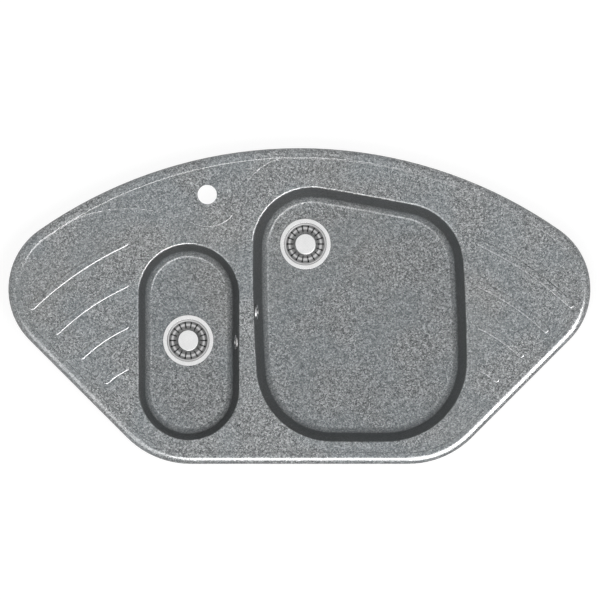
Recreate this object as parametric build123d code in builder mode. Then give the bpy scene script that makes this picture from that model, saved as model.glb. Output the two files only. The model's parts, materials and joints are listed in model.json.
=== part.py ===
"""Corner kitchen sink, one and a half bowls, moulded in stone composite.

Frame: the origin is the middle of the rim's bounding rectangle, in the plane of the worktop that the
rim lies on.  +X is to the right, +Y is towards the corner of the room and +Z is up.  Millimetres.
"""
from build123d import *
from math import acos, atan2, cos, degrees, hypot, radians, sin, sqrt, tan
import os

# Rim and deck -----------------------------------------------------------------------------------
sink_width = 1060        # left to right over the rim
sink_depth = 575         # front edge to the top of the back arc
back_radius = 827        # the long back edge
end_radius = 131         # the rounded end of each wing
front_radius = 164       # corners between the front edge and the slanted sides
rim_top = 10             # raised rim above the worktop
rim_round = 14           # rounding of its outer edge, cut off at the worktop
rim_back = 18            # width of the raised rim at the back
rim_side = 19            # the same at the ends
rim_front = 21           # the same along the front and the slanted sides
rim_step = 3             # the deck lies this far below the rim
step_round = 1.4         # rounding at the top and the foot of that step
deck_thickness = 10
seat_width = 18          # what rests on the worktop; inside it the deck hangs in the cut-out
seal_width = 8
seal_thickness = 1.5
seal_inset = 5           # from the rim's outer edge to the seal

# Tap ledge --------------------------------------------------------------------------------------
tap_offset = 33.3        # to the right of the half bowl's middle
tap_edge_gap = 65.74     # from the sink's back edge
tap_hole_radius = 17.5
ledge_rise = 1.5         # the ledge above the deck
ledge_round = 1.4
ledge_radius = 60        # the ledge runs round the tap hole at this radius
ledge_left_radius = 270  # the ledge's long left curve
ledge_left_overrun = 5   # how far that curve runs on into the rim
ledge_right_radius = 105 # the curve that runs up into the rim
ledge_right_overrun = 2

# Draining ribs on the wings ---------------------------------------------------------------------
rib_count = 4
rib_width = 14.4
rib_height = 2.6
rib_round = 3.5
rib_first_rise = 83.9    # inner end of the rearmost rib, behind the middle of the wing's round end
rib_pitch = 75.9
rib_angle = 34.3         # of each rib's chord to the X axis
rib_turn = 19.2          # angle that each rib bends through
rib_bowl_gap = 24        # from a bowl's mouth to the inner ends
rib_rim_gap_left = 25    # from the raised rim to the outer ends
rib_rim_gap_right = 22.4

# Bowls ------------------------------------------------------------------------------------------
bowl_wall = 9
bowl_draft = 4.7         # degrees
mouth_round = 3.5
floor_round = 14

half_left_margin = 237.5 # from the sink's left end to the half bowl's mouth
half_front_margin = 43.5 # from the sink's front edge
half_back_gap = 31       # from the tap ledge
half_slant_gap = 40      # at least this far from the sink's slanted side
half_width = 182.5
half_depth = 145

main_depth = 195
main_back_gap = 30       # corners of the main bowl's mouth: to the right of the half bowl's mouth
main_front_gap = 43
main_back_margin = 238   # from the sink's right end
main_front_margin = 227
main_slant_gap = 2       # that front corner lies at least this far from the slanted side's edge
main_left_drop = 55.5    # in front of the back arc's middle
main_right_drop = 121.5
main_front_rise = 45.5   # behind the sink's front edge
corner_share = 0.45      # no corner's radius is more than this share of the shorter side that it joins
main_back_bulge = 3.6    # each side bows out by this much
main_right_bulge = 6.2
main_front_bulge = 5
main_left_bulge = 9.8
main_back_left_radius = 107
main_back_right_radius = 115
main_front_right_radius = 146
main_front_left_radius = 138

# Basket wastes ----------------------------------------------------------------------------------
main_drain_right = 90.7  # from the corner at the main bowl's back left
main_drain_front = 119.1
half_drain_right = -1.2  # from the half bowl's middle
half_drain_front = -3.2
steel = 1.2              # pressed sheet
hole_clearance = 1.8     # round the cup, in the bowl's floor
flange_width = 8.6       # outward from the cup's inside
flange_round = 0.9
flange_recess = 1.5
flange_clearance = 1
flange_gasket_thickness = 1
cup_radius = 38          # inside the drain cup
cup_depth = 34
cup_lip_round = 1.1
cup_port_radius = 6.5
cup_port_circle = 21
cup_port_count = 6
well_radius = 11         # sunk middle of the cup, for the screw's head
well_depth = 4
under_gasket_thickness = 2
waste_flange_width = 7.5
waste_flange_thickness = 4
waste_clearance = 3.3    # round the cup, in the chamber below the bowl
waste_wall = 3
waste_spare = 2          # from the spokes down to where the chamber narrows
waste_cone = 16
outlet_radius = 23.9     # outside the threaded outlet
outlet_wall = 3.5
outlet_length = 33
boss_radius = 9          # takes the clamp screw
boss_gap = 0.8           # left between the cup's sunk middle and the boss
boss_length = 22
spoke_width = 4
spoke_height = 12
spoke_count = 3
screw_radius = 5
screw_head_radius = 9
screw_head_height = 3
screw_length = 34
screw_bore_radius = 3.8  # guides the basket's stem
screw_slot = 3
fit = 0.1                # round a pin, a thread or a spigot

# Basket, cap and stopper ------------------------------------------------------------------------
basket_sheet = 1
basket_clearance = 0.4   # round the lip, in the cup
basket_top = -0.5        # the lip, just under the flange
basket_lip = 3           # width of the flat lip
basket_valley = 9.5      # depth of the slotted ring
basket_bend = 2
valley_outer_inset = 7   # from the cup's inside
valley_inner_gap = 5.2   # outside the cap
cap_radius = 20.8
cap_height = 4.6
cap_round = 3.6
cap_base = 0.6           # height of the basket's middle, which the cap sits on
slot_count = 18
slot_width = 2.3
slot_inner_gap = 1.6     # outside the cap
slot_outer_inset = 4.2   # from the cup's inside
close_travel = 5         # from open down to shut
seat_gap = 0.3           # left under the stopper when it is shut
stopper_inset = 3.5      # from the cup's inside
stopper_thickness = 2
stopper_overhang = 3.5   # beyond its plate
stopper_plate_thickness = 2.5
stem_radius = 5
stem_head_radius = 10
stem_head_thickness = 2
stem_spigot_radius = 3   # through the basket into the cap
stem_spigot_bite = 2.6
stem_pin_length = 33
stem_ring_section = 1.2  # the rubber ring that holds the stem up
stem_ring_drop = 22      # below the stopper plate

# Overflows --------------------------------------------------------------------------------------
overflow_drop = 40       # centre below the deck
main_overflow_front = 6  # in front of the middle of the main bowl's left side
overflow_hole_radius = 11
cover_radius = 13.5
cover_thickness = 3.6
cover_round = 2.2
cover_hole_radius = 1.8
cover_hole_circle = 8.6
cover_hole_count = 8
overflow_screw_radius = 2.4
overflow_screw_head_radius = 4.2
overflow_screw_head = 1.8
overflow_screw_bite = 5  # thread in the housing
overflow_gasket_thickness = 1.5
housing_radius = 15.5
housing_thickness = 8
housing_wall = 1.5
duct_width = 22
duct_length = 40
elbow_height = 9
spigot_length = 15
hose_radius = 9
hose_wall = 2
hose_wall_gap = 1.5      # from the hose to the bowl's outside
nozzle_wall = 1.5
inlet_collar = 4         # stub that the hose's end butts against
nozzle_drop = 28         # side inlet of the waste below the bowl's floor
nozzle_reach = 70        # from the waste's axis to the end of the inlet
main_hose_bend = 40
half_hose_bend = 28
hose_rib_pitch = 4.2
hose_rib_depth = 1.1
hose_clip_width = 6
hose_clip_thickness = 0.9
hose_clip_lug = 5

# Fixing clips -----------------------------------------------------------------------------------
worktop_thickness = 38              # what the clips are set for
clip_back_angles = (24.5, 2, -22)   # along the back arc, anticlockwise from its middle
clip_front_offset = 5               # to the left of the half bowl's right side
clip_inset = 34                     # from the rim's outer edge to the screw
clip_boss_radius = 9
clip_boss_length = 12
plug_radius = 4
plug_depth = 14
plug_flange_radius = 7
plug_flange_thickness = 1
clip_screw_radius = 2
clip_screw_head_radius = 5
clip_screw_head_height = 4
clip_sheet = 2
clip_width = 16
clip_reach = 29          # outward from the screw
clip_heel = 13           # inward from the screw
clip_heel_height = 24
clip_foot = 12           # flat length round the screw, outward
clip_rise = 7            # foot up to the tip
clip_ramp = 7
clip_bend = 1.2
body_gap = 0.3           # between a clip and what it turns against

# Worked out from the sizes above ----------------------------------------------------------------
deck_top = rim_top - rim_step
deck_bottom = deck_top - deck_thickness
ledge_top = deck_top + ledge_rise
back_centre_y = sink_depth / 2 - back_radius
end_centre_x = sink_width / 2 - end_radius
main_floor = deck_top - main_depth
half_floor = deck_top - half_depth
draft_shift = tan(radians(bowl_draft))
wall_square = bowl_wall * cos(radians(bowl_draft))   # wall thickness square to its face
hose_line = wall_square + hose_wall_gap + hose_radius  # hose axis behind the bowl's inner face
back_middle_y = sink_depth / 2                   # the back arc's middle
half_left_x = half_left_margin - sink_width / 2
half_x = half_left_x + half_width / 2
half_right_x = half_left_x + half_width
tap_x = half_x + tap_offset
tap_y = back_centre_y + sqrt((back_radius - tap_edge_gap)**2 - tap_x**2)
end_middle_y = back_centre_y + sqrt((back_radius - end_radius)**2 - end_centre_x**2)
slant = end_centre_x + end_radius * sqrt(2) - end_middle_y   # x - y all along the right slanted side
half_front_y = max(
    half_front_margin - sink_depth / 2,
    (half_width / 2 + half_slant_gap) * sqrt(2) - slant - half_x - half_width / 2,
)
half_back_y = tap_y - ledge_radius - half_back_gap
half_y = (half_front_y + half_back_y) / 2
main_front_y = main_front_rise - sink_depth / 2
main_back_left = (half_right_x + main_back_gap, back_middle_y - main_left_drop)
main_back_right = (sink_width / 2 - main_back_margin, back_middle_y - main_right_drop)
main_front_right = (
    min(sink_width / 2 - main_front_margin, slant + main_front_y - main_slant_gap), main_front_y,
)
main_front_left = (half_right_x + main_front_gap, main_front_y)
main_overflow_y = (main_back_left[1] + main_front_left[1]) / 2 - main_overflow_front
cup_outside = cup_radius + steel
drain_hole_radius = cup_outside + hole_clearance
flange_radius = cup_radius + flange_width
waste_radius = cup_outside + waste_clearance + waste_wall
waste_flange_radius = waste_radius + waste_flange_width
waste_depth = cup_depth + well_depth + steel + boss_gap + spoke_height + waste_spare
stopper_radius = cup_radius - stopper_inset
stopper_plate_radius = stopper_radius - stopper_overhang
slot_inner_radius = cap_radius + slot_inner_gap
slot_outer_radius = cup_radius - slot_outer_inset
hose_bore_radius = hose_radius - hose_wall

os.makedirs("parts", exist_ok=True)


def save(builder, name):
    """Label a finished piece and write it."""
    builder.part.label = name
    export_step(builder.part, f"parts/{name}.step")


# Outlines ---------------------------------------------------------------------------------------
def end_centre_y(back_inset, side_inset):
    """Height of the end arc's centre, where the end arc touches the back arc."""
    reach = (back_radius - back_inset) - (end_radius - side_inset)
    return back_centre_y + sqrt(reach**2 - end_centre_x**2)


def rim_outline(height, back_inset=0, side_inset=0, front_inset=0):
    """The corner-shaped outline, drawn in from the rim's outer edge, as a face at a height."""
    back = back_radius - back_inset
    end = end_radius - side_inset
    front = front_radius - front_inset
    end_y = end_centre_y(back_inset, side_inset)
    front_y = front_inset - sink_depth / 2
    slant_x = end_centre_x + end * cos(radians(45))
    slant_y = end_y - end * sin(radians(45))
    corner_x = slant_x - slant_y + front_y - front * tan(radians(22.5))
    foot_x = corner_x + front * sin(radians(45))
    foot_y = front_y + front - front * cos(radians(45))
    spread = degrees(atan2(end_centre_x, end_y - back_centre_y))
    with BuildSketch(Plane.XY.offset(height)) as outline:
        with BuildLine():
            CenterArc((0, back_centre_y), back, 90 - spread, 2 * spread)
            CenterArc((end_centre_x, end_y), end, -45, 135 - spread)
            CenterArc((-end_centre_x, end_y), end, 90 + spread, 135 - spread)
            Line((slant_x, slant_y), (foot_x, foot_y))
            Line((-slant_x, slant_y), (-foot_x, foot_y))
            CenterArc((corner_x, front_y + front), front, -90, 45)
            CenterArc((-corner_x, front_y + front), front, 225, 45)
            Line((-corner_x, front_y), (corner_x, front_y))
        make_face()
    return outline.sketch


def on_circle(centre, radius, angle):
    """The point on a circle in this direction."""
    return centre[0] + radius * cos(radians(angle)), centre[1] + radius * sin(radians(angle))


def bowed_side(start, end, bulge):
    """Centre and radius of the arc from start to end that bows out to the left by the bulge."""
    dx, dy = end[0] - start[0], end[1] - start[1]
    chord = hypot(dx, dy)
    radius = (chord**2 / 4 + bulge**2) / (2 * bulge)
    back = (radius - bulge) / chord
    return ((start[0] + end[0]) / 2 + dy * back, (start[1] + end[1]) / 2 - dx * back), radius


def circle_crossing(centre_a, radius_a, centre_b, radius_b):
    """The point at these distances from two centres, to the right of the line from a to b."""
    dx, dy = centre_b[0] - centre_a[0], centre_b[1] - centre_a[1]
    apart = hypot(dx, dy)
    lead = acos((radius_a**2 + apart**2 - radius_b**2) / (2 * radius_a * apart))
    return on_circle(centre_a, radius_a, degrees(atan2(dy, dx) - lead))


main_sides = [
    bowed_side(main_back_left, main_back_right, main_back_bulge),
    bowed_side(main_back_right, main_front_right, main_right_bulge),
    bowed_side(main_front_right, main_front_left, main_front_bulge),
    bowed_side(main_front_left, main_back_left, main_left_bulge),
]
main_corner_radii = [
    main_back_left_radius, main_back_right_radius, main_front_right_radius, main_front_left_radius,
]


def main_mouth(height, grow=0):
    """Mouth of the main bowl: four bowed sides and four rounded corners."""
    corners = []
    for side in range(4):
        (before, before_radius), (after, after_radius) = main_sides[side - 1], main_sides[side]
        corners.append(circle_crossing(before, before_radius + grow, after, after_radius + grow))
    with BuildSketch(Plane.XY.offset(height)) as mouth:
        with BuildLine():
            for start, end, (_, radius) in zip(corners, corners[1:] + corners[:1], main_sides):
                RadiusArc(start, end, radius + grow)
        make_face()
        for corner, radius, before, after in zip(
            corners, main_corner_radii, corners[-1:] + corners, corners[1:] + corners[:1]
        ):
            shorter = min(hypot(corner[0] - x, corner[1] - y) for x, y in (before, after))
            nearest = mouth.vertices().sort_by_distance((*corner, height))[0]
            fillet(nearest, min(radius + grow, corner_share * shorter))
    return mouth.sketch


def half_mouth(height, grow=0):
    """Mouth of the half bowl: a long round-ended slot."""
    with BuildSketch(Plane.XY.offset(height)) as mouth:
        with Locations((half_x, half_y)):
            SlotOverall(half_back_y - half_front_y + 2 * grow, half_width + 2 * grow, rotation=90)
    return mouth.sketch


def ledge_outline(height):
    """The tap ledge: its front runs from the rim, over a long crest, round the tap and back to the rim."""
    tap = (tap_x, tap_y)
    back_centre = (0, back_centre_y)
    rim_line = back_radius - rim_back
    left_centre = circle_crossing(
        tap, ledge_radius + ledge_left_radius,
        back_centre, rim_line - ledge_left_radius + ledge_left_overrun,
    )
    right_centre = circle_crossing(
        back_centre, rim_line - ledge_right_radius + ledge_right_overrun,
        tap, ledge_radius + ledge_right_radius,
    )
    left_turn = degrees(atan2(tap_y - left_centre[1], tap_x - left_centre[0]))
    right_turn = degrees(atan2(right_centre[1] - tap_y, right_centre[0] - tap_x))
    hidden = rim_line + rim_back / 2
    left_angle = degrees(atan2(left_centre[1] - back_centre_y, left_centre[0]))
    right_angle = degrees(atan2(right_centre[1] - back_centre_y, right_centre[0]))
    left_end = on_circle(left_centre, ledge_left_radius, left_angle)
    right_end = on_circle(right_centre, ledge_right_radius, right_angle)
    with BuildSketch(Plane.XY.offset(height)) as outline:
        with BuildLine():
            CenterArc(left_centre, ledge_left_radius, left_turn, left_angle - left_turn)
            CenterArc(tap, ledge_radius, left_turn - 180, right_turn - left_turn + 180)
            CenterArc(right_centre, ledge_right_radius, right_angle, right_turn + 180 - right_angle)
            CenterArc(back_centre, hidden, right_angle, left_angle - right_angle)
            Line(left_end, on_circle(back_centre, hidden, left_angle))
            Line(right_end, on_circle(back_centre, hidden, right_angle))
        make_face()
    return outline.sketch


def rib_outlines(height):
    """The round-ended ribs of both wings, bowed towards the back corner."""
    lean = (cos(radians(rib_angle)), sin(radians(rib_angle)))
    wings = [
        (-1, -half_left_x + rib_bowl_gap, rib_rim_gap_left),
        (1, main_right_x + rib_bowl_gap, rib_rim_gap_right),
    ]
    with BuildSketch(Plane.XY.offset(height)) as ribs:
        for side, inner_x, rim_gap in wings:
            reach = slant - (rim_front + rim_gap) * sqrt(2)
            for row in range(rib_count):
                inner_y = end_middle_y + rib_first_rise - row * rib_pitch
                length = (reach - inner_x + inner_y) / (lean[0] + lean[1])
                rise = length / 2 * tan(radians(rib_turn / 4))
                start = (inner_x, inner_y)
                middle = (
                    inner_x + length / 2 * lean[0] + rise * lean[1],
                    inner_y - length / 2 * lean[1] + rise * lean[0],
                )
                end = (inner_x + length * lean[0], inner_y - length * lean[1])
                with BuildLine(mode=Mode.PRIVATE) as spine:
                    ThreePointArc(*((side * x, y) for x, y in (start, middle, end)))
                SlotArc(spine.edge(), rib_width)
    return ribs.sketch


# Places on the bowls ----------------------------------------------------------------------------
def wall_plane(mouth_point, inward):
    """Plane on a bowl's inner face at the height of its overflow, its normal into the bowl."""
    shift = overflow_drop * draft_shift
    origin = (
        mouth_point[0] + inward[0] * shift, mouth_point[1] + inward[1] * shift, deck_top - overflow_drop,
    )
    lean = radians(bowl_draft)
    normal = (inward[0] * cos(lean), inward[1] * cos(lean), sin(lean))
    return Plane(origin=origin, x_dir=(-inward[1], inward[0], 0), z_dir=normal)


right_centre, right_radius = main_sides[1]
left_centre, left_radius = main_sides[3]
main_right_x = right_centre[0] + right_radius
left_side_x = left_centre[0] - sqrt(left_radius**2 - (main_overflow_y - left_centre[1]) ** 2)
left_inward = ((left_centre[0] - left_side_x) / left_radius, (left_centre[1] - main_overflow_y) / left_radius)
main_wall = wall_plane((left_side_x, main_overflow_y), left_inward)
half_wall = wall_plane((half_x + half_width / 2, half_y), (-1, 0))
main_drain = Plane((main_back_left[0] + main_drain_right, main_back_left[1] - main_drain_front, main_floor))
half_drain = Plane((half_x + half_drain_right, half_y - half_drain_front, half_floor))


def clip_places():
    """Each clip's screw as a plane whose X axis points outward, across the edge of the cut-out."""
    along_back = back_radius - clip_inset
    places = []
    for angle in clip_back_angles:
        out = (-sin(radians(angle)), cos(radians(angle)))
        places.append(((along_back * out[0], back_centre_y + along_back * out[1]), out))
    end_y = end_middle_y
    places.append(((clip_inset - sink_width / 2, end_y), (-1, 0)))
    places.append(((sink_width / 2 - clip_inset, end_y), (1, 0)))
    # middle of each slanted side, between the end arc and the front corner
    diagonal = sin(radians(45))
    slant_x, slant_y = end_centre_x + end_radius * diagonal, end_y - end_radius * diagonal
    drop = slant_y + sink_depth / 2 - front_radius * (1 - diagonal)
    middle_x, middle_y = slant_x - drop / 2, slant_y - drop / 2
    inset = clip_inset * diagonal
    places.append(((inset - middle_x, middle_y + inset), (-diagonal, -diagonal)))
    places.append(((middle_x - inset, middle_y + inset), (diagonal, -diagonal)))
    places.append(((half_right_x - clip_front_offset, clip_inset - sink_depth / 2), (0, -1)))
    return [
        Plane(origin=(x, y, deck_bottom), x_dir=(out_x, out_y, 0), z_dir=(0, 0, 1))
        for (x, y), (out_x, out_y) in places
    ]


def upright(plane):
    """The vertical plane through a plane's X axis, with its Y axis up: for turned profiles."""
    return Plane(origin=plane.origin, x_dir=plane.x_dir, z_dir=-plane.y_dir)


def turn(plane):
    """The axis that turned profiles revolve about."""
    return Axis(plane.origin, plane.z_dir)


# Sink -------------------------------------------------------------------------------------------
with BuildPart() as sink:
    # the rounding is larger than the rim is high: its block is a little wider, and what is below goes
    below = max(0, rim_round - rim_top)
    wider = rim_round - sqrt(rim_round**2 - below**2)
    rim_block = rim_round + seal_thickness
    extrude(rim_outline(rim_top - rim_block, -wider, -wider, -wider), amount=rim_block)
    fillet(sink.edges().group_by(Axis.Z)[-1], rim_round)
    with BuildSketch():
        Rectangle(2 * sink_width, 2 * sink_depth)
    extrude(amount=-rim_block, mode=Mode.SUBTRACT)
    extrude(rim_outline(deck_bottom, seat_width, seat_width, seat_width), amount=-deck_bottom)

    # the step from the rim down to the deck, rounded at its top and its foot
    extrude(rim_outline(rim_top, rim_back, rim_side, rim_front), amount=-rim_step, mode=Mode.SUBTRACT)
    inner = sink.faces().filter_by(lambda face: abs(face.center().Z - (rim_top + deck_top) / 2) < 0.01)
    fillet(inner.edges().filter_by(lambda edge: abs(edge.tangent_at(0.5).Z) < 0.5), step_round)

    with BuildPart(mode=Mode.PRIVATE) as ledge:
        extrude(ledge_outline(deck_top - ledge_rise), amount=2 * ledge_rise)
        front_radii = (ledge_left_radius, ledge_radius, ledge_right_radius)
        ledge_arcs = ledge.edges().group_by(Axis.Z)[-1].filter_by(GeomType.CIRCLE)
        fillet(ledge_arcs.filter_by(lambda edge: round(edge.radius, 3) in front_radii), ledge_round)
    add(ledge.part)

    with BuildPart(mode=Mode.PRIVATE) as ribs:
        extrude(rib_outlines(deck_top - rib_height), amount=2 * rib_height)
        fillet(ribs.edges().group_by(Axis.Z)[-1], rib_round)
    add(ribs.part)

    for mouth, depth in ((main_mouth, main_depth), (half_mouth, half_depth)):
        shell_top = (deck_top + deck_bottom) / 2
        grow = bowl_wall - (deck_top - shell_top) * draft_shift
        with BuildPart(mode=Mode.PRIVATE) as shell:
            extrude(mouth(shell_top, grow), amount=deck_top - depth - bowl_wall - shell_top, taper=bowl_draft)
            fillet(shell.edges().group_by(Axis.Z)[0], floor_round + bowl_wall)
        add(shell.part)
    for mouth, depth in ((main_mouth, main_depth), (half_mouth, half_depth)):
        with BuildPart(mode=Mode.PRIVATE) as hollow:
            extrude(mouth(deck_top), amount=-depth, taper=bowl_draft)
            fillet(hollow.edges().group_by(Axis.Z)[0], floor_round)
        add(hollow.part, mode=Mode.SUBTRACT)
        rim_edges = sink.edges().filter_by(
            lambda edge: abs(edge.center().Z - deck_top) < 0.01
            and mouth(deck_top, 1).faces()[0].is_inside(edge @ 0.5)
        )
        fillet(rim_edges, mouth_round)

    # bowl floors: a shallow seat for each flange and the hole for its cup
    for drain in (main_drain, half_drain):
        with BuildSketch(drain):
            Circle(flange_radius + flange_clearance)
        extrude(amount=-flange_recess, mode=Mode.SUBTRACT)
        with BuildSketch(drain):
            Circle(drain_hole_radius)
        extrude(amount=-2 * bowl_wall, mode=Mode.SUBTRACT)

    for wall in (main_wall, half_wall):
        with BuildSketch(wall):
            Circle(overflow_hole_radius)
        extrude(amount=2 * bowl_wall, both=True, mode=Mode.SUBTRACT)

    with BuildSketch(Plane.XY.offset(rim_top)):
        with Locations((tap_x, tap_y)):
            Circle(tap_hole_radius)
    extrude(amount=-2 * (rim_top - deck_bottom), mode=Mode.SUBTRACT)

    # bosses under the deck for the fixing clips' plugs
    for place in clip_places():
        with BuildSketch(place):
            Circle(clip_boss_radius)
        extrude(amount=-clip_boss_length)
        with BuildSketch(place.offset(-clip_boss_length)):
            Circle(plug_radius + fit)
        extrude(amount=plug_depth + body_gap, mode=Mode.SUBTRACT)

    # groove under the rim for the seal
    groove_outer, groove_inner = seal_inset - fit, seal_inset + seal_width + fit
    with BuildSketch() as groove:
        add(rim_outline(0, groove_outer, groove_outer, groove_outer))
        add(rim_outline(0, groove_inner, groove_inner, groove_inner), mode=Mode.SUBTRACT)
    extrude(amount=seal_thickness, mode=Mode.SUBTRACT)
save(sink, "sink_body")

with BuildPart() as rim_seal:
    seal_outer, seal_inner = seal_inset, seal_inset + seal_width
    with BuildSketch() as seal_ring:
        add(rim_outline(0, seal_outer, seal_outer, seal_outer))
        add(rim_outline(0, seal_inner, seal_inner, seal_inner), mode=Mode.SUBTRACT)
    extrude(amount=seal_thickness)
save(rim_seal, "rim_seal")


# Basket wastes, heights from the bowl's floor ---------------------------------------------------
flange_foot = flange_gasket_thickness - flange_recess    # underside of the flange
flange_top = flange_foot + steel
under_bowl = -bowl_wall - under_gasket_thickness         # top of the waste body
cup_floor = -cup_depth
stopper_foot = cup_floor + seat_gap + close_travel       # underside of the stopper at rest
plate_foot = stopper_foot + stopper_thickness
plate_top = plate_foot + stopper_plate_thickness
boss_top = cup_floor - well_depth - steel - boss_gap
outlet_top = -waste_depth - waste_cone


def ring(plane, low, high, inner, outer):
    """A flat ring about a plane's normal."""
    with BuildPart() as flat:
        with BuildSketch(plane.offset(low)):
            Circle(outer)
            Circle(inner, mode=Mode.SUBTRACT)
        extrude(amount=high - low)
    return flat


def drain_cup(drain):
    """Pressed steel cup that lines the drain hole, with the flange that shows in the bowl."""
    well_foot = cup_floor - well_depth
    with BuildPart() as cup:
        with BuildSketch(upright(drain)) as profile:
            with BuildLine():
                Polyline(
                    (flange_radius, flange_foot), (flange_radius, flange_top), (cup_radius, flange_top),
                    (cup_radius, cup_floor), (well_radius, cup_floor), (well_radius, well_foot),
                    (screw_radius + fit, well_foot), (screw_radius + fit, well_foot - steel),
                    (well_radius + steel, well_foot - steel), (well_radius + steel, cup_floor - steel),
                    (cup_outside, cup_floor - steel), (cup_outside, flange_foot), close=True,
                )
            make_face()
            fillet(profile.vertices().sort_by_distance((cup_radius, flange_top))[0], cup_lip_round)
            fillet(profile.vertices().sort_by_distance((flange_radius, flange_top))[0], flange_round)
        revolve(axis=turn(drain))
        with BuildSketch(drain.offset(cup_floor)):
            with PolarLocations(cup_port_circle, cup_port_count):
                Circle(cup_port_radius)
        extrude(amount=-2 * steel, mode=Mode.SUBTRACT)
    return cup


def waste_body(drain, inlet):
    """Moulded chamber under the bowl: outlet below, boss for the clamp screw, inlet for the overflow."""
    chamber = waste_radius - waste_wall
    bore = outlet_radius - outlet_wall
    flange_low = under_bowl - waste_flange_thickness
    cone_lift = waste_wall * (waste_cone / hypot(waste_cone, waste_radius - outlet_radius))
    with BuildPart() as body:
        with BuildSketch(upright(drain)):
            with BuildLine():
                Polyline(
                    (waste_flange_radius, under_bowl), (waste_flange_radius, flange_low),
                    (waste_radius, flange_low), (waste_radius, -waste_depth),
                    (outlet_radius, outlet_top), (outlet_radius, outlet_top - outlet_length),
                    (bore, outlet_top - outlet_length), (bore, outlet_top + cone_lift),
                    (chamber, cone_lift - waste_depth), (chamber, under_bowl), close=True,
                )
            make_face()
        revolve(axis=turn(drain))
        with BuildSketch(drain.offset(boss_top)):
            Circle(boss_radius)
        extrude(amount=-boss_length)
        with BuildSketch(drain.offset(boss_top)):
            with PolarLocations(0, spoke_count):
                Rectangle(waste_radius - waste_wall / 2, spoke_width, align=(Align.MIN, Align.CENTER))
        extrude(amount=-spoke_height)
        with BuildSketch(drain.offset(boss_top)):
            Circle(screw_radius + fit)
        extrude(amount=-boss_length, mode=Mode.SUBTRACT)
        with BuildSketch(inlet.offset(chamber)):
            Circle(hose_radius)
        extrude(amount=waste_wall + inlet_collar)
        with BuildSketch(inlet.offset(chamber)):
            Circle(hose_bore_radius - fit)
        extrude(amount=nozzle_reach - chamber)
        with BuildSketch(inlet.offset(chamber - waste_wall)):
            Circle(hose_bore_radius - nozzle_wall)
        extrude(amount=nozzle_reach, mode=Mode.SUBTRACT)
    return body


def clamp_screw(drain):
    """Hollow screw that clamps the cup and the waste body together and guides the basket's stem."""
    seat = cup_floor - well_depth
    with BuildPart() as screw:
        with BuildSketch(drain.offset(seat)):
            Circle(screw_head_radius)
        extrude(amount=screw_head_height)
        with BuildSketch(drain.offset(seat + screw_head_height)):
            Rectangle(2 * screw_head_radius, screw_slot)
        extrude(amount=-screw_head_height / 2, mode=Mode.SUBTRACT)
        with BuildSketch(drain.offset(seat)):
            Circle(screw_radius)
        extrude(amount=-screw_length)
        with BuildSketch(drain.offset(seat + screw_head_height)):
            Circle(screw_bore_radius)
        extrude(amount=-screw_head_height - screw_length, mode=Mode.SUBTRACT)
    return screw


def basket(drain):
    """Pressed strainer: a lip, a slotted valley and a raised middle under the cap."""
    middle = cup_radius - basket_clearance - basket_lip
    with BuildPart() as strainer:
        with BuildSketch(upright(drain)):
            with BuildLine():
                press = FilletPolyline(
                    (cup_radius - basket_clearance, basket_top), (middle, basket_top),
                    (cup_radius - valley_outer_inset, -basket_valley),
                    (cap_radius + valley_inner_gap, -basket_valley),
                    (cap_radius, cap_base), (stem_spigot_radius + fit, cap_base), radius=basket_bend,
                )
                offset(press, amount=basket_sheet, side=Side.LEFT)
            make_face()
        revolve(axis=turn(drain))
        with BuildSketch(drain.offset(cap_base)):
            with PolarLocations((slot_inner_radius + slot_outer_radius) / 2, slot_count):
                SlotOverall(slot_outer_radius - slot_inner_radius, slot_width)
        extrude(amount=-2 * basket_valley, mode=Mode.SUBTRACT)
    return strainer


def basket_cap(drain):
    """Round cap that the hand pushes and pulls."""
    with BuildPart() as cap:
        with BuildSketch(drain.offset(cap_base)):
            Circle(cap_radius)
        extrude(amount=cap_height)
        fillet(cap.edges().group_by(Axis.Z)[-1], cap_round)
        with BuildSketch(drain.offset(cap_base)):
            Circle(stem_spigot_radius + fit)
        extrude(amount=stem_spigot_bite + fit, mode=Mode.SUBTRACT)
    return cap


def basket_stem(drain):
    """Stem under the basket: a spigot into the cap, a plate for the stopper and the guide pin."""
    head_top = cap_base - basket_sheet
    pin = screw_bore_radius - fit
    groove = pin - stem_ring_section
    ring_level = plate_foot - stem_ring_drop
    with BuildPart() as stem:
        with BuildSketch(upright(drain)):
            with BuildLine():
                Polyline(
                    (0, cap_base + stem_spigot_bite), (stem_spigot_radius, cap_base + stem_spigot_bite),
                    (stem_spigot_radius, head_top), (stem_head_radius, head_top),
                    (stem_head_radius, head_top - stem_head_thickness),
                    (stem_radius, head_top - stem_head_thickness), (stem_radius, plate_top),
                    (stopper_plate_radius, plate_top), (stopper_plate_radius, plate_foot), (pin, plate_foot),
                    (pin, ring_level + stem_ring_section / 2 + fit),
                    (groove, ring_level + stem_ring_section / 2 + fit),
                    (groove, ring_level - stem_ring_section / 2 - fit),
                    (pin, ring_level - stem_ring_section / 2 - fit),
                    (pin, plate_foot - stem_pin_length), (0, plate_foot - stem_pin_length), close=True,
                )
            make_face()
        revolve(axis=turn(drain))
    return stem


def stem_ring(drain):
    """Rubber ring in the pin's groove, whose grip holds the basket open."""
    with BuildPart() as grip:
        with BuildSketch(upright(drain)):
            centre_x = screw_bore_radius - fit / 2 - stem_ring_section / 2
            with Locations((centre_x, plate_foot - stem_ring_drop)):
                Circle(stem_ring_section / 2)
        revolve(axis=turn(drain))
    return grip


# Overflows --------------------------------------------------------------------------------------
housing_face = -wall_square - overflow_gasket_thickness   # against the gasket, behind the bowl
housing_back = housing_face - housing_thickness


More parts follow.
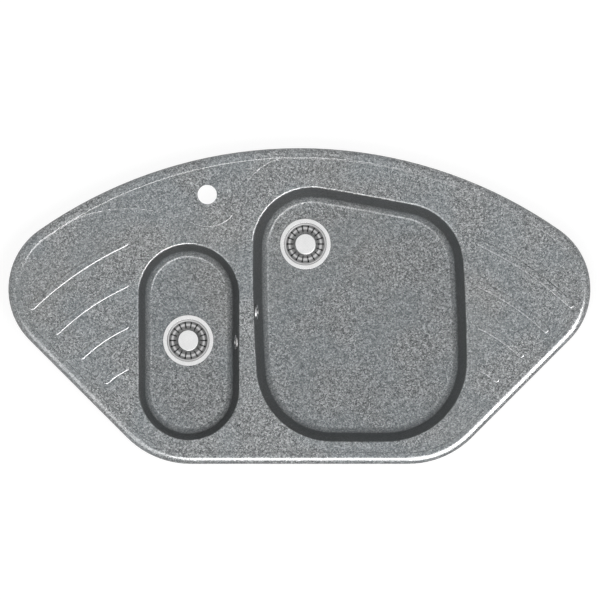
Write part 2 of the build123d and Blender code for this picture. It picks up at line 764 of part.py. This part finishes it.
def overflow_cover(wall):
    """Pierced round cover on the inside of the bowl."""
    with BuildPart() as cover:
        with BuildSketch(wall.offset(fit)):
            Circle(cover_radius)
        extrude(amount=cover_thickness - fit)
        fillet(cover.faces().sort_by(Axis((0, 0, 0), wall.z_dir))[-1].edges(), cover_round)
        with BuildSketch(wall):
            Circle(overflow_screw_radius + fit)
            with PolarLocations(cover_hole_circle, cover_hole_count):
                Circle(cover_hole_radius)
        extrude(amount=2 * cover_thickness, mode=Mode.SUBTRACT)
    return cover


def overflow_screw(wall):
    """Screw through the cover into the housing's post."""
    with BuildPart() as screw:
        with BuildSketch(wall.offset(cover_thickness)):
            Circle(overflow_screw_head_radius)
        extrude(amount=overflow_screw_head)
        with BuildSketch(wall.offset(housing_face - overflow_screw_bite)):
            Circle(overflow_screw_radius)
        extrude(amount=cover_thickness - housing_face + overflow_screw_bite)
    return screw


def elbow_plane(wall):
    """Plane at the foot of the overflow's duct, its normal down along the wall."""
    foot = wall.from_local_coords((0, -duct_length, 0))
    return Plane(origin=foot, x_dir=wall.x_dir, z_dir=-wall.y_dir)


def overflow_housing(wall):
    """Flat housing behind the bowl that leads the water down to the hose."""
    elbow = elbow_plane(wall)
    far = hose_line + hose_bore_radius + housing_wall     # how far the elbow stands out
    inside = housing_thickness - 2 * housing_wall
    with BuildPart() as housing:
        with BuildSketch(wall.offset(housing_back)):
            Circle(housing_radius)
            Rectangle(duct_width, duct_length, align=(Align.CENTER, Align.MAX))
        extrude(amount=housing_thickness)
        with BuildSketch(elbow):
            with Locations((0, housing_face)):
                Rectangle(duct_width, far + housing_face, align=(Align.CENTER, Align.MAX))
        extrude(amount=elbow_height)
        with BuildSketch(elbow.offset(elbow_height)):
            with Locations((0, -hose_line)):
                Circle(hose_bore_radius - fit)
        extrude(amount=spigot_length)

        with BuildSketch(wall.offset(housing_face)):
            Circle(housing_radius - 2 * housing_wall)
            Circle(overflow_screw_radius + housing_wall, mode=Mode.SUBTRACT)
        extrude(amount=housing_wall - housing_thickness, mode=Mode.SUBTRACT)
        with BuildSketch(wall.offset(housing_back + housing_wall)):
            with Locations((0, -overflow_screw_head_radius)):
                Rectangle(
                    duct_width - 2 * housing_wall,
                    duct_length + elbow_height - housing_wall - overflow_screw_head_radius,
                    align=(Align.CENTER, Align.MAX),
                )
        extrude(amount=inside, mode=Mode.SUBTRACT)
        with BuildSketch(elbow.offset(housing_wall)):
            with Locations((0, housing_face - housing_wall)):
                Rectangle(
                    duct_width - 2 * housing_wall, far + housing_face - 2 * housing_wall,
                    align=(Align.CENTER, Align.MAX),
                )
        extrude(amount=elbow_height - 2 * housing_wall, mode=Mode.SUBTRACT)
        with BuildSketch(elbow.offset(elbow_height / 2)):
            with Locations((0, -hose_line)):
                Circle(hose_bore_radius - nozzle_wall)
        extrude(amount=elbow_height + spigot_length, mode=Mode.SUBTRACT)
        with BuildSketch(wall.offset(housing_face)):
            Circle(overflow_screw_radius + fit)
        extrude(amount=-overflow_screw_bite - fit, mode=Mode.SUBTRACT)
    return housing


def hose_corner(wall, drain):
    """Start of the hose and the corner where its drop meets the level of the waste's inlet."""
    elbow = elbow_plane(wall)
    start = elbow.from_local_coords((0, -hose_line, elbow_height + fit))
    level = drain.origin.Z - nozzle_drop
    return start, start + elbow.z_dir * ((level - start.Z) / elbow.z_dir.Z)


def inlet_plane(wall, drain):
    """Plane on the waste's axis whose normal points along the inlet, at the hose's corner."""
    corner = hose_corner(wall, drain)[1]
    axis_point = Vector(drain.origin.X, drain.origin.Y, corner.Z)
    return Plane(origin=axis_point, x_dir=(0, 0, 1), z_dir=corner - axis_point)


def overflow_hose(wall, drain, bend):
    """Ribbed hose with plain ends, from the overflow's spigot to the waste's inlet."""
    start, corner = hose_corner(wall, drain)
    inlet = inlet_plane(wall, drain)
    end = inlet.origin + inlet.z_dir * (waste_radius + inlet_collar + fit)
    steady = (corner - start).cross(end - corner)
    with BuildLine() as route:
        FilletPolyline(start, corner, end, radius=bend)
    path = route.wire()
    cuff = 2 * hose_radius
    count = int((path.length - 2 * cuff) / hose_rib_pitch)
    first = (path.length - count * hose_rib_pitch) / 2
    valley = hose_radius - hose_rib_depth
    flank = hose_rib_pitch / 5
    stations = [(0, hose_radius), (first - flank, hose_radius)]
    for rib in range(count):
        foot = first + rib * hose_rib_pitch
        crest_end = foot + hose_rib_pitch / 2
        stations += [
            (foot, valley), (foot + flank, hose_radius),
            (crest_end, hose_radius), (crest_end + flank, valley),
        ]
    stations += [(path.length - first + flank, hose_radius), (path.length, hose_radius)]

    def section(distance, radius):
        place = path.location_at(distance, position_mode=PositionMode.LENGTH).position
        along = path.tangent_at(distance, position_mode=PositionMode.LENGTH)
        with BuildSketch(Plane(origin=place, x_dir=steady, z_dir=along)) as circle:
            Circle(radius)
        return circle.sketch

    with BuildPart() as hose:
        loft([section(*station) for station in stations], ruled=True)
        sweep(section(0, hose_bore_radius), path=path, mode=Mode.SUBTRACT)
    print("hose length", round(path.length, 1), "ribs", count, "bend radius", bend)
    return hose


def hose_clips(wall, drain):
    """Band clips round both ends of a hose, each with the lug that its worm screw sits in."""
    elbow = elbow_plane(wall)
    start = hose_corner(wall, drain)[0]
    inlet = inlet_plane(wall, drain)
    setback = hose_radius
    upper = Plane(origin=start + elbow.z_dir * setback, x_dir=wall.x_dir, z_dir=elbow.z_dir)
    lower = Plane(
        origin=inlet.origin + inlet.z_dir * (waste_radius + inlet_collar + setback),
        x_dir=(0, 0, -1), z_dir=inlet.z_dir,
    )
    with BuildPart() as clips:
        for place in (upper, lower):
            with BuildSketch(place.offset(-hose_clip_width / 2)):
                Circle(hose_radius + hose_clip_thickness)
                with Locations((hose_radius, 0)):
                    Rectangle(hose_clip_lug, 2 * hose_clip_lug, align=(Align.MIN, Align.CENTER))
                Circle(hose_radius + fit / 2, mode=Mode.SUBTRACT)
            extrude(amount=hose_clip_width)
    return clips


# Every bowl has the same waste and overflow -----------------------------------------------------
for bowl, drain, wall, bend in (
    ("main", main_drain, main_wall, main_hose_bend),
    ("half", half_drain, half_wall, half_hose_bend),
):
    flange_gasket = ring(
        drain, -flange_recess, flange_foot, drain_hole_radius + fit, flange_radius - flange_round,
    )
    under_gasket = ring(
        drain, under_bowl, -bowl_wall, drain_hole_radius + under_gasket_thickness,
        waste_flange_radius - under_gasket_thickness,
    )
    stopper = ring(drain, stopper_foot, plate_foot, stem_radius + fit, stopper_radius)
    overflow_gasket = ring(
        wall, housing_face, -wall_square, overflow_hole_radius + fit, housing_radius - housing_wall / 2,
    )
    save(drain_cup(drain), f"{bowl}_drain_cup")
    save(flange_gasket, f"{bowl}_flange_gasket")
    save(under_gasket, f"{bowl}_under_gasket")
    save(waste_body(drain, inlet_plane(wall, drain)), f"{bowl}_waste_body")
    save(clamp_screw(drain), f"{bowl}_clamp_screw")
    save(basket(drain), f"{bowl}_basket")
    save(basket_cap(drain), f"{bowl}_basket_cap")
    save(basket_stem(drain), f"{bowl}_basket_stem")
    save(stem_ring(drain), f"{bowl}_stem_ring")
    save(stopper, f"{bowl}_stopper")
    save(overflow_cover(wall), f"{bowl}_overflow_cover")
    save(overflow_screw(wall), f"{bowl}_overflow_screw")
    save(overflow_gasket, f"{bowl}_overflow_gasket")
    save(overflow_housing(wall), f"{bowl}_overflow_housing")
    save(overflow_hose(wall, drain, bend), f"{bowl}_overflow_hose")
    save(hose_clips(wall, drain), f"{bowl}_hose_clips")

# Fixing clips -----------------------------------------------------------------------------------
plug_top = plug_depth - clip_boss_length                  # heights here are from the deck's underside
clip_tip_top = -worktop_thickness - body_gap - deck_bottom
clip_base_foot = clip_tip_top - clip_rise - clip_sheet
screw_head_top = clip_base_foot - body_gap

with BuildPart() as plugs:
    for place in clip_places():
        with BuildSketch(place.offset(plug_top)):
            Circle(plug_radius)
        extrude(amount=-plug_depth)
        with BuildSketch(place.offset(-clip_boss_length)):
            Circle(plug_flange_radius)
        extrude(amount=-plug_flange_thickness)
        with BuildSketch(place.offset(-clip_boss_length - plug_flange_thickness)):
            Circle(clip_screw_radius + fit)
        extrude(amount=plug_depth, mode=Mode.SUBTRACT)
save(plugs, "clip_plugs")

with BuildPart() as clip_screws:
    for place in clip_places():
        with BuildSketch(place.offset(screw_head_top)):
            RegularPolygon(clip_screw_head_radius, 6)
        extrude(amount=-clip_screw_head_height)
        with BuildSketch(place.offset(screw_head_top)):
            Circle(clip_screw_radius)
        extrude(amount=plug_top - plug_flange_thickness - fit - screw_head_top)
save(clip_screws, "clip_screws")

for number, place in enumerate(clip_places(), start=1):
    side = upright(place)
    with BuildPart() as fixing_clip:
        with BuildSketch(side):
            with BuildLine():
                strap = FilletPolyline(
                    (-clip_heel, clip_base_foot + clip_heel_height), (-clip_heel, clip_base_foot),
                    (clip_foot, clip_base_foot), (clip_foot + clip_ramp, clip_base_foot + clip_rise),
                    (clip_reach, clip_base_foot + clip_rise), radius=clip_bend + clip_sheet,
                )
                offset(strap, amount=clip_sheet, side=Side.LEFT)
            make_face()
        extrude(amount=clip_width / 2, both=True)
        with BuildSketch(place.offset(clip_base_foot)):
            Circle(clip_screw_radius + fit)
        extrude(amount=clip_sheet, mode=Mode.SUBTRACT)
    save(fixing_clip, f"fixing_clip_{number}")
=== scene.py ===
"""Looks of a corner kitchen sink in speckled stone composite, with its wastes, overflows and fixing clips."""

import json
import math

import bmesh
import bpy
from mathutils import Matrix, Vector


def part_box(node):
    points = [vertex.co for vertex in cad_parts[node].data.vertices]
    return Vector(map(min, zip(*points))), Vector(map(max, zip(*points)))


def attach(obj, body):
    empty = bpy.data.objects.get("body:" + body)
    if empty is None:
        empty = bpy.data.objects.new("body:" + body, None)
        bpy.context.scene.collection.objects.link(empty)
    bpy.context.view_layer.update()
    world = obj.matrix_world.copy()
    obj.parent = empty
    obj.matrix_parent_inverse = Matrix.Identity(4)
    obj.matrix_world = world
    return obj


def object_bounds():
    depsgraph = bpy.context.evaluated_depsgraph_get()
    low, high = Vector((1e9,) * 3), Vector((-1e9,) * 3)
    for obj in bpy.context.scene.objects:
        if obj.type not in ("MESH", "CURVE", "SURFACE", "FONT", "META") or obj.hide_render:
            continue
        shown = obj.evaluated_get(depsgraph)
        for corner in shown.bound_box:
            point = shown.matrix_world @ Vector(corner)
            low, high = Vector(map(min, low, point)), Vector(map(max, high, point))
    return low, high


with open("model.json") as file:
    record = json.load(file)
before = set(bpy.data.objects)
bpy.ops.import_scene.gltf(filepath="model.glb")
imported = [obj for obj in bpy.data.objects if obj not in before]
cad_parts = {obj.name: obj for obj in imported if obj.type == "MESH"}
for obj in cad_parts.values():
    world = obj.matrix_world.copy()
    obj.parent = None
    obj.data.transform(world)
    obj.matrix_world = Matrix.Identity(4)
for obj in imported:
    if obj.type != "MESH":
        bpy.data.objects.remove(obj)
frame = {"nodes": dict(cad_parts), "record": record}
cad_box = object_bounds()
NODES = frame["nodes"]
MM = 0.001
BOWLS = ("main", "half")


# Shader maths -------------------------------------------------------------------------------------
class Wire:
    """A node socket that takes Python operators."""

    def __init__(self, maker, socket):
        self.maker = maker
        self.socket = socket

    def maths(self, operation, *others):
        values = {index: other for index, other in enumerate((self, *others))}
        return self.maker.node("ShaderNodeMath", {"operation": operation}, values)

    def __add__(self, other):
        return self.maths("ADD", other)

    __radd__ = __add__

    def __sub__(self, other):
        return self.maths("SUBTRACT", other)

    def __rsub__(self, other):
        return self.maker.node("ShaderNodeMath", {"operation": "SUBTRACT"}, {0: other, 1: self})

    def __mul__(self, other):
        return self.maths("MULTIPLY", other)

    def over(self, low, high):
        """0 below low, 1 above high, smooth between."""
        return self.maker.node(
            "ShaderNodeMapRange", {"interpolation_type": "SMOOTHSTEP"},
            {"Value": self, "From Min": low, "From Max": high},
        )


class Finish:
    """One procedural material on a Principled shader, its patterns on Object coordinates in metres."""

    def __init__(self, name, **uniform):
        self.material = bpy.data.materials.new(name)
        self.material.use_nodes = True
        self.tree = self.material.node_tree
        self.tree.nodes.clear()
        self.output = self.tree.nodes.new("ShaderNodeOutputMaterial")
        self.show(self.new_shader(**uniform))
        coordinates = self.tree.nodes.new("ShaderNodeTexCoord")
        self.place = Wire(self, coordinates.outputs["Object"])
        self.facing = Wire(self, coordinates.outputs["Normal"])

    def new_shader(self, **uniform):
        """A Principled shader; what is set next goes to it."""
        self.shader = self.tree.nodes.new("ShaderNodeBsdfPrincipled")
        for socket, value in uniform.items():
            self.put(self.shader.inputs[socket.replace("_", " ")], value)
        return self.shader

    def show(self, shader):
        self.tree.links.new(shader.outputs[0], self.output.inputs["Surface"])

    def mix_shaders(self, share, first, second):
        """The first shader where share is 0, the second where it is 1."""
        both = self.tree.nodes.new("ShaderNodeMixShader")
        self.put(both.inputs["Fac"], share)
        self.tree.links.new(first.outputs[0], both.inputs[1])
        self.tree.links.new(second.outputs[0], both.inputs[2])
        return both

    def put(self, socket, value):
        if isinstance(value, Wire):
            self.tree.links.new(value.socket, socket)
        else:
            socket.default_value = value

    def node(self, kind, settings, values, output=0):
        """Any node: its settings first, then the values or links of its sockets."""
        made = self.tree.nodes.new(kind)
        for name, value in settings.items():
            setattr(made, name, value)
        for name, value in values.items():
            self.put(made.inputs[name], value)
        return Wire(self, made.outputs[output])

    def noise(self, scale, detail=2.0, roughness=0.5):
        values = {"Vector": self.place, "Scale": scale, "Detail": detail, "Roughness": roughness}
        return self.node("ShaderNodeTexNoise", {}, values, "Fac")

    def grains(self, scale):
        """A random grey for each grain, with so many grains to the metre."""
        cells = self.node("ShaderNodeTexVoronoi", {}, {"Vector": self.place, "Scale": scale}, "Color")
        return self.node("ShaderNodeSeparateColor", {}, {"Color": cells}, "Red")

    def steepness(self):
        """0 on level surfaces, 1 on upright ones."""
        upward = self.node("ShaderNodeSeparateXYZ", {}, {"Vector": self.facing}, "Z")
        return 1.0 - upward.maths("ABSOLUTE")

    def mix(self, share, first, second):
        """The first colour where share is 0, the second where it is 1."""
        made = self.tree.nodes.new("ShaderNodeMix")
        made.data_type = "RGBA"
        self.put(made.inputs["Factor"], share)
        self.put(made.inputs[6], first)
        self.put(made.inputs[7], second)
        return Wire(self, made.outputs[2])

    def ramp(self, value, stops):
        """Colours at stops from 0 to 1."""
        made = self.tree.nodes.new("ShaderNodeValToRGB")
        bar = made.color_ramp
        while len(bar.elements) < len(stops):
            bar.elements.new(0.5)
        for element, (position, colour) in zip(bar.elements, stops):
            element.position = position
            element.color = colour
        self.put(made.inputs["Fac"], value)
        return Wire(self, made.outputs["Color"])

    def set(self, name, value):
        self.put(self.shader.inputs[name], value)

    def bump(self, height, depth):
        """Raises the surface by depth metres where height is 1."""
        self.set("Normal", self.node("ShaderNodeBump", {}, {"Distance": depth, "Height": height}, "Normal"))


def placed(name, shape, material):
    """An object at the origin with the shape as its mesh."""
    mesh = bpy.data.meshes.new(name)
    shape.to_mesh(mesh)
    shape.free()
    mesh.materials.append(material)
    made = bpy.data.objects.new(name, mesh)
    bpy.context.scene.collection.objects.link(made)
    return made


def grey(level):
    return (level, level, level, 1.0)


def tint(red, green, blue):
    return (red, green, blue, 1.0)


# Finishes -----------------------------------------------------------------------------------------
COARSE_GRAINS, FINE_GRAINS = 430.0, 900.0    # to the metre
EVEN_GRAIN, GLOSSY_GRAIN = 0.040 * MM, 0.022 * MM    # depth of the grain that can be felt
MOUTH_FOOT = -10 * MM         # below this height the composite belongs to a bowl,
MOUTH_BLEND = 10 * MM         # wholly so this much further down
# How far the composite leans decides its finish and where painted shade darkens it: 0 for level, 1 for
# upright.
ROUNDED = (0.0015, 0.0090)    # from level to rounded
UPRIGHT = (0.45, 0.80)        # from rounded to upright
UPRIGHT_IN_BOWL = (0.014, 0.044)


def stone_composite():
    """Moulded composite: quartz grains of two sizes, a few dark and pale ones, slow drifts of tone.

    Level surfaces are shown matt, rounded ones glossy, and upright ones and the bowls' sides rough and barely
    glossy, their colour darkened as painted shade.
    """
    stone = Finish("stone_composite", Specular_IOR_Level=0.5)
    fine = stone.grains(FINE_GRAINS)
    tone = stone.grains(COARSE_GRAINS) * 0.55 + fine * 0.45
    base = stone.ramp(tone, [
        (0.0, tint(0.030, 0.032, 0.033)), (0.28, tint(0.110, 0.115, 0.117)),
        (0.5, tint(0.190, 0.197, 0.200)), (0.72, tint(0.290, 0.300, 0.304)),
        (1.0, tint(0.520, 0.530, 0.530)),
    ])
    cool_drift = stone.noise(9.0, detail=1.0).over(0.40, 0.62) * 0.25
    warm_drift = stone.noise(5.0, detail=0.0).over(0.50, 0.70) * 0.12
    cool = stone.mix(cool_drift, base, tint(0.165, 0.195, 0.212))
    colour = stone.mix(warm_drift, cool, tint(0.212, 0.202, 0.186))
    grain = stone.noise(1500.0)

    glossy = stone.shader
    stone.set("Base Color", colour)
    stone.set("Roughness", 0.18 + fine * 0.06)
    stone.bump(grain, GLOSSY_GRAIN)
    matt = stone.new_shader(Specular_IOR_Level=0.0, Roughness=0.6)
    stone.set("Base Color", colour)
    stone.bump(grain, EVEN_GRAIN)
    # A rough copy whose colour is darkened toward dark grey: painted shade on the upright surfaces and the
    # bowls' sides.
    dull_painted_shade = stone.new_shader(Specular_IOR_Level=0.05)
    stone.set("Base Color", stone.mix(0.45, colour, tint(0.085, 0.090, 0.092)))
    stone.set("Roughness", 0.55 + fine * 0.10)
    stone.bump(grain, EVEN_GRAIN)

    height = stone.node("ShaderNodeSeparateXYZ", {}, {"Vector": stone.place}, "Z")
    in_bowl = height.over(MOUTH_FOOT, MOUTH_FOOT - MOUTH_BLEND)
    lean = stone.steepness()
    # Where the dark rough copy, and so its painted shade, takes over by lean; inside the bowls it takes over
    # at a smaller lean.
    upright = lean.over(*(
        outside - in_bowl * (outside - inside) for outside, inside in zip(UPRIGHT, UPRIGHT_IN_BOWL)
    ))
    stone.show(stone.mix_shaders(upright, stone.mix_shaders(lean.over(*ROUNDED), matt, glossy), dull_painted_shade))
    return stone.material


def bright_steel(name, base, roughness, brushing):
    """Bare steel with fine marks of handling and a slight unevenness of polish."""
    steel = Finish(name, Metallic=1.0, Roughness=roughness)
    cloud = steel.noise(60.0)
    marks = steel.noise(brushing, detail=3.0, roughness=0.7)
    steel.set("Base Color", steel.mix(cloud.over(0.3, 0.7), grey(base * 0.96), grey(base)))
    steel.set("Roughness", roughness * 0.8 + marks * roughness * 0.4)
    steel.bump(marks, 0.01 * MM)
    return steel.material


def zinc_plate():
    """Bright zinc plate with its faint spangle."""
    zinc = Finish("zinc_plate", Metallic=1.0, Roughness=0.35)
    spangle = zinc.grains(260.0)
    zinc.set("Base Color", zinc.mix(spangle, tint(0.50, 0.52, 0.54), tint(0.66, 0.67, 0.68)))
    zinc.set("Roughness", 0.28 + spangle * 0.18)
    return zinc.material


def moulded(name, colour, roughness, grain=0.03 * MM):
    """Moulded plastic or rubber with a fine eroded grain and a little dust in the tone."""
    plastic = Finish(name, Roughness=roughness)
    cloud = plastic.noise(35.0)
    eroded = plastic.noise(1400.0)
    darker = tint(*(channel * 0.85 for channel in colour))
    plastic.set("Base Color", plastic.mix(cloud.over(0.35, 0.65), darker, tint(*colour)))
    plastic.set("Roughness", roughness - 0.06 + eroded * 0.12)
    plastic.bump(eroded, grain)
    return plastic.material


FINISHES = {
    "composite": stone_composite(),
    "foam": moulded("seal_foam", (0.035, 0.035, 0.037), 0.85, 0.2 * MM),
    "polished_steel": bright_steel("polished_steel", 0.80, 0.24, 900.0),
    "satin_steel": bright_steel("satin_steel", 0.58, 0.36, 1300.0),
    "screw_steel": bright_steel("screw_steel", 0.56, 0.30, 900.0),
    "clip_steel": zinc_plate(),
    "black_rubber": moulded("black_rubber", (0.022, 0.022, 0.023), 0.6),
    "waste_plastic": moulded("waste_moulding", (0.60, 0.60, 0.58), 0.42),
    "stem_plastic": moulded("stem_moulding", (0.045, 0.046, 0.048), 0.45),
    "hose_plastic": moulded("hose_moulding", (0.40, 0.40, 0.40), 0.48),
}
for subpart in frame["record"]["subparts"]:
    mesh = NODES[subpart["node"]].data
    mesh.materials.clear()
    mesh.materials.append(FINISHES[subpart["material_slot"]])


# Screw threads of the two outlets -----------------------------------------------------------------
OUTLET_RADIUS = 23.9 * MM
THREAD_PITCH = 2.309 * MM
THREAD_LENGTH = 30 * MM
THREAD_FOOT = 1.4 * MM        # above the outlet's lower end
THREAD_SINK = 0.15 * MM       # into the outlet
THREAD_RISE = 0.40 * MM       # out of it
ROOT_HALF, CREST_HALF = 0.85 * MM, 0.30 * MM    # half the ridge's width at the root and at the crest
STEPS_PER_TURN = 72
RUN_OUT = 24                  # steps in which the ridge sinks away at each end


def thread_section(share):
    """The ridge's cut as radius and height, with its crest at a share of the full rise."""
    root = OUTLET_RADIUS - THREAD_SINK
    crest = root + (THREAD_SINK + THREAD_RISE) * share
    return (root, -ROOT_HALF), (crest, -CREST_HALF), (crest, CREST_HALF), (root, ROOT_HALF)


def outlet_thread(bowl):
    """The helical ridge round a waste's outlet, sunk into it and run out at both ends."""
    cap_low, cap_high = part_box(bowl + "_basket_cap")
    axis_x, axis_y = (cap_low[0] + cap_high[0]) / 2, (cap_low[1] + cap_high[1]) / 2
    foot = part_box(bowl + "_waste_body")[0][2] + THREAD_FOOT
    steps = round(THREAD_LENGTH / THREAD_PITCH * STEPS_PER_TURN)
    ridge = bmesh.new()
    rows = []
    for step in range(steps + 1):
        turns = step / STEPS_PER_TURN
        along, across = math.cos(math.tau * turns), math.sin(math.tau * turns)
        level = foot + THREAD_PITCH * turns
        share = min(1.0, (step + 1) / RUN_OUT, (steps - step + 1) / RUN_OUT)
        rows.append([
            ridge.verts.new((axis_x + along * radius, axis_y + across * radius, level + rise))
            for radius, rise in thread_section(share)
        ])
    for row, following in zip(rows, rows[1:]):
        for side, vert in enumerate(row):
            before = side - 1
            ridge.faces.new((row[before], vert, following[side], following[before]))
    ridge.faces.new(rows[0])
    ridge.faces.new(rows[-1])
    bmesh.ops.recalc_face_normals(ridge, faces=ridge.faces)
    thread = placed(bowl + "_outlet_thread", ridge, FINISHES["waste_plastic"])
    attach(thread, "root")


for bowl in BOWLS:
    outlet_thread(bowl)


# Floor, light and camera --------------------------------------------------------------------------
FLOOR_HALF = 6.0
FLOOR_SEEN, FLOOR_GLOW = 0.93, 0.58    # what the floor gives off to the camera and in mirrors, and as light
ROOM_LIGHT = 0.27
ROOM_LOW, ROOM_HIGH = 0.35, 1.0        # how white the room is mirrored,
ROOM_RISE = (0.55, 0.9)                # below the first and above the second upward part of the ray
SOFTBOX_AWAY, SOFTBOX_LEAN = 14.0, 43  # the softboxes' distance and elevation
WIDE, NARROW = (14.5, 13.0), (7.0, 13.0)
PHOTO_WIDTH, OUTLINE_WIDTH = 600, 582  # pixels: the frame, and the sink's outline in it
SINK_WIDTH = 1060 * MM
CAMERA_PLACE = (1.1 * MM, 10.9 * MM, 3.0)
CAMERA_REACH = 20


def pale_floor():
    """A pale floor that shows white to the camera and keeps the sink's shadow."""
    sheet = bmesh.new()
    bmesh.ops.create_grid(sheet, x_segments=1, y_segments=1, size=FLOOR_HALF)
    bmesh.ops.translate(sheet, vec=(0, 0, cad_box[0][2]), verts=sheet.verts)
    paint = Finish("floor_paint", Roughness=0.9, Specular_IOR_Level=0.0)
    paint.set("Base Color", grey(0.12))
    path = paint.tree.nodes.new("ShaderNodeLightPath")
    seen = Wire(paint, path.outputs["Is Camera Ray"])
    for name in ("Is Glossy Ray", "Is Transmission Ray"):
        seen = seen.maths("MAXIMUM", Wire(paint, path.outputs[name]))
    paint.set("Emission Color", grey(1.0))
    paint.set("Emission Strength", seen * (FLOOR_SEEN - FLOOR_GLOW) + FLOOR_GLOW)
    floor = placed("floor", sheet, paint.material)


def lamp(name, azimuth, elevation, distance, size, power, glossy=True, diffuse=True):
    """A soft rectangular lamp that looks at the middle of the sink."""
    data = bpy.data.lights.new(name, "AREA")
    data.shape = "RECTANGLE"
    data.size, data.size_y = size
    data.energy = power
    made = bpy.data.objects.new(name, data)
    bpy.context.scene.collection.objects.link(made)
    lean, swing = math.radians(elevation), math.radians(azimuth)
    direction = Vector((math.cos(lean) * math.cos(swing), math.cos(lean) * math.sin(swing), math.sin(lean)))
    made.location = direction * distance
    made.rotation_euler = direction.to_track_quat("Z", "Y").to_euler()
    made.visible_glossy = glossy
    made.visible_diffuse = diffuse
    return made


def softbox(name, azimuth, size, power, only=None):
    """A wide lamp seen only in what mirrors it, by every piece or by only one node."""
    made = lamp(name, azimuth, SOFTBOX_LEAN, SOFTBOX_AWAY, size, power, diffuse=False)
    if only:
        lit = bpy.data.collections.new(name + "_receivers")
        lit.objects.link(NODES[only])
        made.light_linking.receiver_collection = lit


def soft_room():
    """A room that is white to the camera, lights evenly, and is mirrored whiter overhead than below."""
    world = bpy.data.worlds.new("room")
    bpy.context.scene.world = world
    world.use_nodes = True
    world.cycles.sampling_method = "NONE"    # so that each kind of ray meets its own strength
    tree = world.node_tree
    background = tree.nodes["Background"]
    background.inputs["Color"].default_value = grey(1.0)
    path = tree.nodes.new("ShaderNodeLightPath")
    upward = tree.nodes.new("ShaderNodeSeparateXYZ")
    tree.links.new(tree.nodes.new("ShaderNodeTexCoord").outputs["Generated"], upward.inputs["Vector"])

    def between(value, first, second, low=0.0, high=1.0):
        """The first strength where the value is low, the second where it is high."""
        made = tree.nodes.new("ShaderNodeMapRange")
        wanted = {"Value": value, "From Min": low, "From Max": high, "To Min": first, "To Max": second}
        for name, source in wanted.items():
            if isinstance(source, float):
                made.inputs[name].default_value = source
            else:
                tree.links.new(source, made.inputs[name])
        return made.outputs["Result"]

    mirrored = between(upward.outputs["Z"], ROOM_LOW, ROOM_HIGH, *ROOM_RISE)
    unseen = between(path.outputs["Is Diffuse Ray"], mirrored, ROOM_LIGHT)
    tree.links.new(between(path.outputs["Is Camera Ray"], unseen, 1.0), background.inputs["Strength"])


def view_from_above():
    """The photograph's view: straight down, without perspective."""
    data = bpy.data.cameras.new("camera")
    data.type = "ORTHO"
    data.ortho_scale = SINK_WIDTH * PHOTO_WIDTH / OUTLINE_WIDTH
    data.clip_end = CAMERA_REACH
    camera = bpy.data.objects.new("camera", data)
    camera.location = CAMERA_PLACE
    bpy.context.scene.collection.objects.link(camera)
    bpy.context.scene.camera = camera
    bpy.context.scene.view_settings.view_transform = "Standard"


pale_floor()
soft_room()
overhead = lamp("overhead", -60, 87, 6.0, (0.9, 0.9), 380, glossy=False)
overhead.data.cycles.use_multiple_importance_sampling = False    # or mirrored rays would find it
softbox("gloss", -58, WIDE, 16000, only="sink_body")
softbox("fill", -125, NARROW, 1700, only="sink_body")
softbox("glint", -58, WIDE, 900)
view_from_above()
